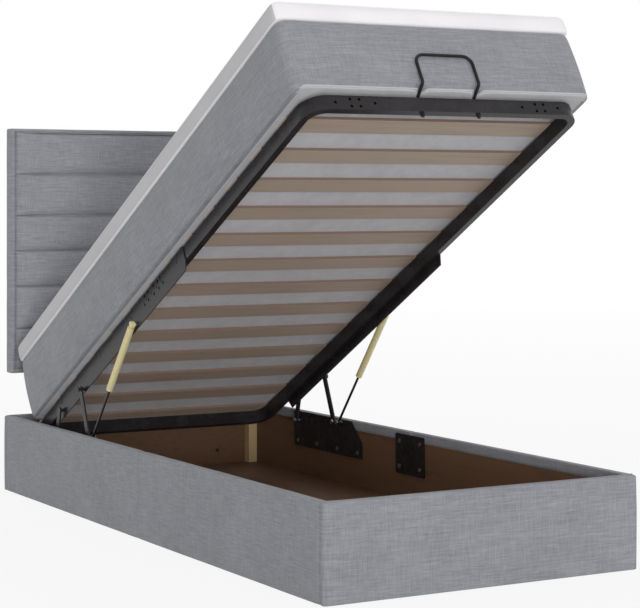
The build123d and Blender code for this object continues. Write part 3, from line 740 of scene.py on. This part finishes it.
border_width_share = 0.66
border_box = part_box("headboard_border")
padding_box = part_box("headboard_padding")
border_width = (border_box[1][0] - padding_box[1][0]) * border_width_share
field_reach = border_box[1][0] - border_width
field_low = border_box[0][2] + border_width
field_high = border_box[1][2] - border_width
border_front = border_box[0][1]
border_back = border_box[1][1]
channel_shares = (0.172, 0.177, 0.150, 0.149, 0.174, 0.178)
channel_crown = 0.013
channel_seam_depth = 0.004
channel_seam_reach = 0.0045
channel_foot_reach = 0.045
channel_foot_drop = 0.35
channel_rows = (0.0, 0.0012, 0.003, 0.006, 0.011, 0.018, 0.027)
channel_row_pitch = 0.014
channel_columns = 96
channel_edge_reach = 0.022
channel_edge_power = 0.6
channel_wave_size = 0.09
channel_wave_depth = 0.0012
channel_wave_seed = 9.0
pucker_depth = 0.0010
pucker_stretch = (42, 12)
padding_seam_sink = 0.0125
padding_seam_y = padding_box[0][1] + padding_seam_sink
padding_wall = 0.006
padding_pressure = 2.0
padding_cap = 0.004
border_edge = 0.001
border_roll_turn = (165, 15)
border_roll_steps = 8
border_run_steps = 40
border_front_roll = 0.006
border_side_start = 0.010
border_side_bow = 0.0004
border_side_steps = 5
border_back_roll = 0.004
border_tuck = 0.0006
border_corner_power = 5.0
border_wave_size = 0.05
border_wave_depth = 0.0005
border_still = 0.002
border_seam_depth = 0.0062
border_seam_radius = 0.0026


def headboard_channels():
    """One quilted sheet, sewn down along the seams between its channels and held at its edges."""
    rows = []
    level = field_low
    for share in channel_shares:
        height = (field_high - field_low) * share
        places = seam_to_seam(height, channel_rows, channel_row_pitch)[:-1]
        rows += [(level + place, place, height - place) for place in places]
        level += height
    rows.append((field_high, 0.0, 0.0))
    points = []
    held = []
    for z, above_seam, below_seam in rows:
        seam_share = min(1.0, min(above_seam, below_seam) / channel_seam_reach)
        foot_share = min(1.0, above_seam / channel_foot_reach)
        bulge = math.sqrt(1 - (1 - seam_share) ** 2) * (1 - channel_foot_drop * (1 - foot_share) ** 2)
        for column in range(channel_columns + 1):
            x = -field_reach + 2 * field_reach * column / channel_columns
            edge = min(1.0, (field_reach - abs(x)) / channel_edge_reach)
            swell = bulge * math.sin(edge * math.pi / 2) ** channel_edge_power
            gather = Vector((x * pucker_stretch[0], z * pucker_stretch[1], 0.0))
            pucker = pucker_depth * noise.noise(gather) * (1.0 - bulge) * edge
            wave = soft_wave((x, z, channel_wave_seed), channel_wave_size, channel_wave_depth)
            y = padding_seam_y - channel_crown * swell + channel_seam_depth * (1 - bulge) / 2
            points.append((x, y + pucker + wave * swell, z))
            if 0.0 in (above_seam, below_seam) or column in (0, channel_columns):
                held.append(len(points) - 1)
    faces = grid_faces(len(rows), channel_columns + 1)
    sheet = make_piece("quilted_headboard_padding", points, faces, [upholstery])
    settle_cloth(sheet, held, padding_pressure, padding_cap)
    add_wall(sheet, padding_wall)
    add_subdivision(sheet)
    finish_piece(sheet, "base", ("headboard_padding",))


def headboard_border():
    """Padded roll round the padding and over the edges of the boards behind it."""
    middle = (field_low + field_high) / 2
    half_height = (field_high - field_low) / 2
    depth = border_back - border_front
    half_width = border_width / 2
    side_length = depth - border_side_start - border_back_roll
    profile = [(border_tuck, border_side_start), (border_edge, border_front_roll)]
    for angle in np.radians(np.linspace(*border_roll_turn, border_roll_steps + 1)):
        out = half_width + (half_width - border_edge) * math.cos(angle)
        profile.append((out, border_front_roll * (1 - math.sin(angle))))
    profile.append((border_width, border_side_start))
    for step in range(1, border_side_steps + 1):
        back = border_side_start + side_length * step / border_side_steps
        profile.append((border_width + border_side_bow, back))
    profile += [
        (border_width - border_edge, depth - border_edge),
        (border_width - border_back_roll, depth),
        (0.0, depth),
    ]
    # A path point: place on the edge of the padding, then the direction outward from it
    path = []
    corners = [
        (side * field_reach, level * half_height)
        for side, level in ((1, -1), (1, 1), (-1, 1), (-1, -1))
    ]
    for number, (corner_x, corner_z) in enumerate(corners):
        start = number * 90 - 90
        for angle in np.radians(np.linspace(start, start + 90, corner_steps + 1)):
            path.append((corner_x, corner_z, math.cos(angle), math.sin(angle)))
        outward = path[-1][2:]
        next_x, next_z = corners[(number + 1) % 4]
        for step in range(1, border_run_steps):
            share = step / border_run_steps
            x = corner_x + (next_x - corner_x) * share
            z = corner_z + (next_z - corner_z) * share
            path.append((x, z, *outward))
    points = []
    power = border_corner_power
    for x, z, out_x, out_z in path:
        stretch = 1.0 / (abs(out_x) ** power + abs(out_z) ** power) ** (1 / power)
        for out, back in profile:
            wave = soft_wave((x + out, back, z), border_wave_size, border_wave_depth)
            reach = (out + wave * (out > border_still)) * stretch
            points.append((x + out_x * reach, border_front + back, middle + z + out_z * reach))
    faces = grid_faces(len(path), len(profile), close_rows=True, close_columns=True, flip=True)
    roll = make_piece("padded_headboard_border", points, faces, [upholstery])
    finish_piece(roll, "base", ("headboard_border",))
    seam = [(x, border_front + border_seam_depth, middle + z) for x, z, out_x, out_z in path]
    round_cord(
        "headboard_border_seam", seam, border_seam_radius, upholstery, "base",
        closed=True, sides=8,
    )


headboard_channels()
headboard_border()


# Mattress and topper

def rounded_plan(x, y, half_x, half_y, radius):
    """Moves a point of a rectangle into the same rectangle with rounded corners."""
    corner_x = abs(x) - (half_x - radius)
    corner_y = abs(y) - (half_y - radius)
    if corner_x <= 0 or corner_y <= 0:
        return x, y
    scale = max(corner_x, corner_y) / math.hypot(corner_x, corner_y)
    return (
        math.copysign(half_x - radius + corner_x * scale, x),
        math.copysign(half_y - radius + corner_y * scale, y),
    )


cushion_spacing = 0.030
corner_spacing_share = 0.7
crown_power_across = 6
crown_power_along = 24


def even_places(half, radius):
    """Places across a panel, closer together over its rounded corners."""
    corner_count = max(3, round(radius / (cushion_spacing * corner_spacing_share)))
    inner = half - radius
    inner_count = max(2, round(2 * inner / cushion_spacing))
    corner = [half - radius * k / corner_count for k in range(corner_count)]
    middle = [inner - 2 * inner * k / inner_count for k in range(inner_count + 1)]
    return [-value for value in corner] + [-value for value in middle] + corner[::-1]


def with_extra_places(places, extra, room):
    """Adds places of their own to an even row, and drops the even ones that crowd them."""
    kept = [place for place in places if all(abs(place - new) > room for new in extra)]
    return sorted(kept + list(extra))


def cushion(half_x, half_y, low, radius, wall, rows, top_crown=0.0, extra=(), reshape=None):
    """Closed cushion on the platform: top, bottom and a wall whose rows follow wall(share)."""
    xs = with_extra_places(even_places(half_x, radius), extra, cushion_spacing / 4)
    ys = even_places(half_y, radius)
    points = []

    def add_point(across, along, up):
        along += mattress_middle
        if reshape:
            across, along = reshape(across, along, up)
        points.append(on_platform(across, along, up))

    def place_in_plan(x, y, inset):
        inner_x, inner_y = half_x - inset, half_y - inset
        return rounded_plan(x * inner_x / half_x, y * inner_y / half_y, inner_x, inner_y, radius)

    def add_panel(inset, level, crown=0.0):
        for y in ys:
            for x in xs:
                edge_x = 1 - (abs(x) / half_x) ** crown_power_across
                edge_y = 1 - (abs(y) / half_y) ** crown_power_along
                lift = crown * math.sqrt(max(0.0, edge_x * edge_y))
                add_point(*place_in_plan(x, y, inset), low + level + lift)

    add_panel(*wall(0.0))
    add_panel(*wall(1.0), top_crown)
    last_x, last_y = len(xs) - 1, len(ys) - 1
    boundary = [(i, 0) for i in range(last_x)] + [(last_x, j) for j in range(last_y)]
    boundary += [(i, last_y) for i in range(last_x, 0, -1)] + [(0, j) for j in range(last_y, 0, -1)]
    rings = [[j * len(xs) + i for i, j in boundary]]
    for row in range(1, rows):
        inset, level = wall(row / rows)
        rings.append(range(len(points), len(points) + len(boundary)))
        for i, j in boundary:
            add_point(*place_in_plan(xs[i], ys[j], inset), low + level)
    upper_panel = len(xs) * len(ys)
    rings.append([upper_panel + index for index in rings[0]])
    faces = grid_faces(len(ys), len(xs), flip=True)
    panel_count = len(faces)
    faces += grid_faces(len(ys), len(xs), first=upper_panel)
    for lower, upper in zip(rings, rings[1:]):
        for k in range(len(lower)):
            ahead = (k + 1) % len(lower)
            faces.append((lower[k], lower[ahead], upper[ahead], upper[k]))
    return points, faces, rings, panel_count


mattress_half_width = 0.442
mattress_half_length = 0.990
mattress_overhang = 0.020
mattress_middle = mattress_half_length - mattress_overhang
mattress_thickness = 0.197
mattress_corner = 0.032
mattress_rows = 14
mattress_roll_rows = 3
mattress_roll = 0.005
mattress_edge = 0.006
mattress_waist = 0.001
mattress_side_bulge = 0.007
mattress_bulge_reach = 0.090
mattress_piping_radius = 0.0026
mattress_piping_lift = 0.0018
mattress_piping_end_lift = 0.0014
mattress_piping_inset = 0.0147
mattress_piping_turn = 0.065
mattress_grey_share = 0.75
mattress_pressure = 3.0
mattress_cap = 0.006
mattress_top = slat_top + mattress_thickness
corner_room = 0.001

# Rod of the handle, as lengths along and above the platform
handle_radius = 0.004
handle_leg = 0.084
handle_along = 0.010
handle_out = 0.031
handle_foot_rise = tube_height + handle_radius
handle_knee_rise = 0.022
handle_grip_rise = 0.104
handle_knee = handle_foot_rise + handle_knee_rise
handle_top = handle_foot_rise + handle_grip_rise
handle_stub = 0.010
handle_bends = (0.006, 0.008, 0.025)
rod_dent_reach = 0.017
rod_dent_core = 0.005
rod_dent_room = 0.0125
rod_dent_share = 0.92
rod_dent_offsets = (-0.017, -0.011, -0.0055, 0.0, 0.0055, 0.011, 0.017)
rod_dent_places = [side * handle_leg + offset for side in (-1, 1) for offset in rod_dent_offsets]


def rod_dent(across, along, up):
    """Where a point of the mattress goes when the legs of the handle press into its foot edge."""
    beside = abs(abs(across) - handle_leg)
    share = (handle_knee - up) / (handle_knee - handle_foot_rise)
    if beside >= rod_dent_reach or share <= 0:
        return along
    pressed = -handle_out + (handle_along + handle_out) * min(1.0, share) + rod_dent_room
    fade = eased(min(1.0, (rod_dent_reach - beside) / (rod_dent_reach - rod_dent_core)))
    return along + max(0.0, pressed - along) * fade * rod_dent_share


def mattress_shape(across, along, up):
    """Bellies the long sides out at half height and presses the rod into the foot edge."""
    beside = 1 - (mattress_half_width - abs(across)) / mattress_bulge_reach
    if beside > 0:
        belly = math.sin(math.pi * min(1.0, max(0.0, (up - slat_top) / mattress_thickness)))
        across += math.copysign(mattress_side_bulge * belly * beside, across)
    return across, rod_dent(across, along, up)


def mattress_wall(share):
    """Inset and height of the mattress wall: rolled under at the bottom, upright, rolled in above."""
    roll_share = mattress_roll_rows / mattress_rows
    if share <= roll_share:
        turn = share / roll_share * math.pi / 2
        return mattress_roll * (1 - math.sin(turn)), mattress_roll * (1 - math.cos(turn))
    edge_share = 1 - 1 / mattress_rows
    high = mattress_thickness - mattress_edge
    if share > edge_share:
        return mattress_edge, mattress_thickness
    climb = (share - roll_share) / (edge_share - roll_share)
    drawn_in = mattress_waist * math.sin(math.pi * climb)
    return drawn_in, mattress_roll + (high - mattress_roll) * climb


pale_half_width = mattress_half_width - mattress_roll - mattress_piping_inset


def corner_distances(point):
    """How far a point is past the start of the mattress corner across, and from the nearer end."""
    along = (point[1] - platform_y) * math.cos(tilt) - (point[2] - platform_z) * math.sin(tilt)
    across = abs(point[0]) - (mattress_half_width - mattress_corner)
    return across, mattress_half_length - abs(along - mattress_middle)


def turned_under(point):
    """How far the grey side cloth is turned under the mattress: 0 at its ends, 1 along its sides."""
    across, from_end = corner_distances(point)
    if across <= 0:
        return 0.0
    return eased(min(1.0, max(0.0, from_end + across) / mattress_piping_turn))


def on_corner(point):
    """Whether a point lies on a rounded corner of the mattress."""
    across, from_end = corner_distances(point)
    return across > -corner_room and from_end < mattress_corner + corner_room


def make_mattress():
    """Mattress with grey sides and a pale underside, and the piping of its bottom edge."""
    points, faces, rings, panel_count = cushion(
        mattress_half_width, mattress_half_length, slat_top, mattress_corner, mattress_wall,
        mattress_rows, extra=rod_dent_places, reshape=mattress_shape,
    )
    mattress = make_piece("grey_mattress", points, faces, [mattress_side_cloth, mattress_under_cloth])
    roll_start = 2 * panel_count
    roll_count = len(rings[0]) * mattress_roll_rows
    for face in mattress.data.polygons[:panel_count]:
        inside = abs(face.center.x) < pale_half_width
        if inside or turned_under(face.center) < mattress_grey_share:
            face.material_index = 1
    for face in mattress.data.polygons[roll_start:roll_start + roll_count]:
        row = (face.index - roll_start) // len(rings[0])
        if (row + 0.5) / mattress_roll_rows < 1 - 2 * turned_under(face.center):
            face.material_index = 1
    held = [index for ring in (*rings[:mattress_roll_rows + 1], rings[-1]) for index in ring]
    held += [face_vertex for face in faces[:panel_count] for face_vertex in face]
    held += [index for ring in rings for index in ring if on_corner(points[index])]
    settle_cloth(mattress, sorted(set(held)), mattress_pressure, mattress_cap)
    add_subdivision(mattress)
    finish_piece(mattress, "platform", ("mattress",))
    piping = []
    for place in range(len(rings[0])):
        under = points[rings[0][place]]
        turn = turned_under(under)
        level = mattress_roll_rows * max(0.0, 1 - 2 * turn)
        row = min(mattress_roll_rows - 1, int(level))
        low_point, high_point = points[rings[row][place]], points[rings[row + 1][place]]
        inward = mattress_piping_inset * max(0.0, 2 * turn - 1)
        over_rim = max(0.0, 1 - corner_distances(under)[1] / mattress_piping_turn)
        lift = (mattress_piping_lift + mattress_piping_end_lift * over_rim) * min(1.0, 2 * turn)
        knot = low_point.lerp(high_point, level - row) + platform_up * lift
        knot.x -= math.copysign(inward, under.x)
        piping.append(knot)
    round_cord(
        "mattress_bottom_piping", piping, mattress_piping_radius, piping_cloth,
        "platform", closed=True,
    )


topper_half_width = 0.445
topper_half_length = 0.990
topper_thickness = 0.050
topper_corner = 0.020
topper_rows = 9
topper_gap = 0.0006
topper_crown = 0.006
topper_inset = 0.007
topper_roll_power = 0.35
topper_piping_radius = 0.0022
topper_pressure = 2.5
topper_cap = 0.006
shaded_side_facing = 0.8


def topper_wall(share):
    """Inset and height of the topper's side, which bulges like a roll between its seams."""
    turn = math.pi * share
    height = topper_thickness * (1 - math.cos(turn)) / 2
    bulge = math.sin(turn) ** topper_roll_power if 0 < share < 1 else 0.0
    return topper_inset * (1 - bulge), height


def make_topper():
    """Topper on the mattress, with painted shade on its long sides, and the piping of its top edge.
    """
    points, faces, rings, panel_count = cushion(
        topper_half_width, topper_half_length, mattress_top + topper_gap, topper_corner,
        topper_wall, topper_rows, topper_crown,
    )
    topper = make_piece("white_topper", points, faces, [topper_cloth, topper_side_shade_cloth])
    # Faces of the long sides get the darker copy of the knit: painted shade
    for face in topper.data.polygons[2 * panel_count:]:
        if abs(face.normal.x) > shaded_side_facing:
            face.material_index = 1
    held = set(rings[0]) | set(rings[-1])
    held |= {face_vertex for face in faces[:panel_count] for face_vertex in face}
    settle_cloth(topper, sorted(held), topper_pressure, topper_cap)
    add_subdivision(topper)
    finish_piece(topper, "platform", ("topper",))
    edge = [points[index] for index in rings[-1]]
    round_cord(
        "topper_top_piping", edge, topper_piping_radius, topper_cloth,
        "platform", closed=True,
    )


make_mattress()
make_topper()


# Handle: one bent rod through the foot tube

def rounded_run(points, radii, steps=8):
    """Points of a bent rod: straight runs with an arc of its own radius at each corner."""
    run = [points[0]]
    for before, corner, after, radius in zip(points, points[1:], points[2:], radii):
        back = (before - corner).normalized()
        ahead = (after - corner).normalized()
        half = back.angle(ahead) / 2
        bisector = (back + ahead).normalized()
        centre = corner + bisector * (radius / math.sin(half))
        start = corner + back * (radius / math.tan(half)) - centre
        end = corner + ahead * (radius / math.tan(half)) - centre
        for step in range(steps + 1):
            run.append(centre + start.normalized().slerp(end.normalized(), step / steps) * radius)
    return [*run, points[-1]]


def make_handle():
    """Rod that comes up through the foot tube, bends outward and stands up as a grip."""
    side = [
        (handle_along, -handle_stub),
        (handle_along, handle_foot_rise),
        (-handle_out, handle_knee),
        (-handle_out, handle_top),
    ]
    corners = [on_platform(-handle_leg, *place) for place in side]
    corners += [on_platform(handle_leg, *place) for place in reversed(side)]
    rod = rounded_run(corners, (*handle_bends, *reversed(handle_bends)))
    round_cord(
        "bent_handle_rod", rod, handle_radius, handle_coat, "platform",
        sides=20, replaced=("handle",),
    )


make_handle()


# Screw heads on the foot tube and the hinge plates

screw_radius = 0.0042
screw_height = 0.0008
cluster_middle = 0.276
cluster_reach = 0.056
cluster_inner = ((-0.013, -0.010), (-0.013, 0.010), (0.013, -0.010), (0.013, 0.010))
plate_cluster_along = 1.0
plate_cluster = (
    (-0.068, -0.011), (-0.055, 0.012), (-0.036, -0.012), (-0.036, 0.009), (-0.006, 0.012),
    (0.0, -0.012), (0.036, 0.011), (0.040, -0.010), (0.062, 0.012), (0.070, -0.011),
)


def screw_heads(name, places, facing):
    """Small screw heads at the places, all facing the same way, near-black as painted shade of holes.
    """
    heads = run_tree(
        make_piece(name, places, [], []), screw_maker,
        Radius=screw_radius, Height=screw_height, Facing=facing, Material=screw_hole_shade,
    )
    finish_piece(heads, "platform")


def tube_screws():
    """Heads in two groups on the face of the foot tube, and in one on each hinge plate."""
    foot_facing = on_platform(0, -1, 0) - on_platform(0, 0, 0)
    offsets = ((-cluster_reach, 0.0), (cluster_reach, 0.0)) + cluster_inner
    foot_places = [
        on_platform(sign * cluster_middle + across, 0.0, tube_height / 2 + up)
        for sign in (-1, 1)
        for across, up in offsets
    ]
    screw_heads("foot_tube_screws", foot_places, foot_facing)
    plate_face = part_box("hinge_plate_right")[1][0]
    for side, sign in (("left", -1), ("right", 1)):
        places = [
            on_platform(sign * plate_face, plate_cluster_along + along, tube_height / 2 + up)
            for along, up in plate_cluster
        ]
        screw_heads(f"hinge_plate_screws_{side}", places, Vector((sign, 0, 0)))


tube_screws()


# Floor, light and camera

floor_reach = 30.0
floor_white_share = 0.86
floor_fade_start = 2.0
floor_fade_end = 12.0
world_strength = 0.69
key_place = (-6.5, -24.0, 1.7)
key_target = (0.0, 0.0, 0.7)
key_width = 5.5
key_height = 3.0
key_power = 2250.0
white = (1, 1, 1, 1)


def white_for_sight(tree, plain, bright, share, target):
    """Shows a share of the bright shader to rays that see, mirror or pass on the background."""
    path = tree.add("ShaderNodeLightPath").outputs
    seen = tree.combine("MAXIMUM", path["Is Camera Ray"], path["Is Glossy Ray"])
    seen = tree.combine("MAXIMUM", seen, path["Is Transmission Ray"])
    mix = tree.add("ShaderNodeMixShader", {
        "Fac": tree.combine("MULTIPLY", seen, share),
        1: plain,
        2: bright,
    })
    tree.join(mix.outputs["Shader"], target.inputs["Surface"])


def make_floor():
    """White floor that keeps the bed's shadow and fades into the background further out."""
    finish = Finish("studio_floor", roughness=0.9, specular=0.1)
    finish.shader.inputs["Base Color"].default_value = (*floor_white, 1.0)
    distance = finish.add("ShaderNodeVectorMath", {0: finish.vector}, operation="LENGTH")
    fade = finish.add("ShaderNodeMapRange", {
        "Value": distance.outputs["Value"],
        "From Min": floor_fade_start,
        "From Max": floor_fade_end,
        "To Min": floor_white_share,
        "To Max": 1.0,
    })
    glow = finish.add("ShaderNodeEmission", {"Color": white})
    white_for_sight(
        finish, finish.shader.outputs["BSDF"], glow.outputs["Emission"], fade.outputs["Result"],
        finish.tree.nodes["Material Output"],
    )
    corners = [(x * floor_reach, y * floor_reach, 0) for x, y in ((-1, -1), (1, -1), (1, 1), (-1, 1))]
    floor = make_piece("studio_floor", corners, [(0, 1, 2, 3)], [finish.material])


def make_world():
    """Soft light from all round, which the camera sees as plain white."""
    world = bpy.data.worlds.new("studio_world")
    bpy.context.scene.world = world
    world.use_nodes = True
    tree = Nodes(world.node_tree)
    soft = tree.tree.nodes["Background"]
    soft.inputs["Color"].default_value = white
    soft.inputs["Strength"].default_value = world_strength
    bright = tree.add("ShaderNodeBackground", {"Color": white, "Strength": 1.0})
    white_for_sight(
        tree, soft.outputs["Background"], bright.outputs["Background"], 1.0,
        tree.tree.nodes["World Output"],
    )


def front_light():
    """Large soft light far in front of the foot end, so that near and far faces get the same."""
    light = bpy.data.lights.new("front_light", "AREA")
    light.shape = "RECTANGLE"
    light.size = key_width
    light.size_y = key_height
    light.energy = key_power
    lamp = bpy.data.objects.new("front_light", light)
    lamp.location = key_place
    direction = Vector(key_target) - Vector(key_place)
    lamp.rotation_euler = direction.to_track_quat("-Z", "Y").to_euler()
    bpy.context.scene.collection.objects.link(lamp)


photo_width = 640
photo_height = 608
focal_pixels = 1951.0
horizon_row = 195.0
camera_place = (-2.703, -4.945, 0.9513)
camera_heading = math.radians(29.75)
sensor_width = 36.0


def make_camera():
    """Camera of the photograph, level, with its horizon moved up by a lens shift."""
    data = bpy.data.cameras.new("photo_camera")
    data.sensor_width = sensor_width
    data.lens = focal_pixels / photo_width * sensor_width
    data.shift_y = -(photo_height / 2 - horizon_row) / photo_width
    camera = bpy.data.objects.new("photo_camera", data)
    camera.location = camera_place
    camera.rotation_euler = (math.radians(90), 0, -camera_heading)
    bpy.context.scene.collection.objects.link(camera)
    bpy.context.scene.camera = camera


make_floor()
make_world()
front_light()
make_camera()

bpy.context.scene.view_settings.view_transform = "Standard"
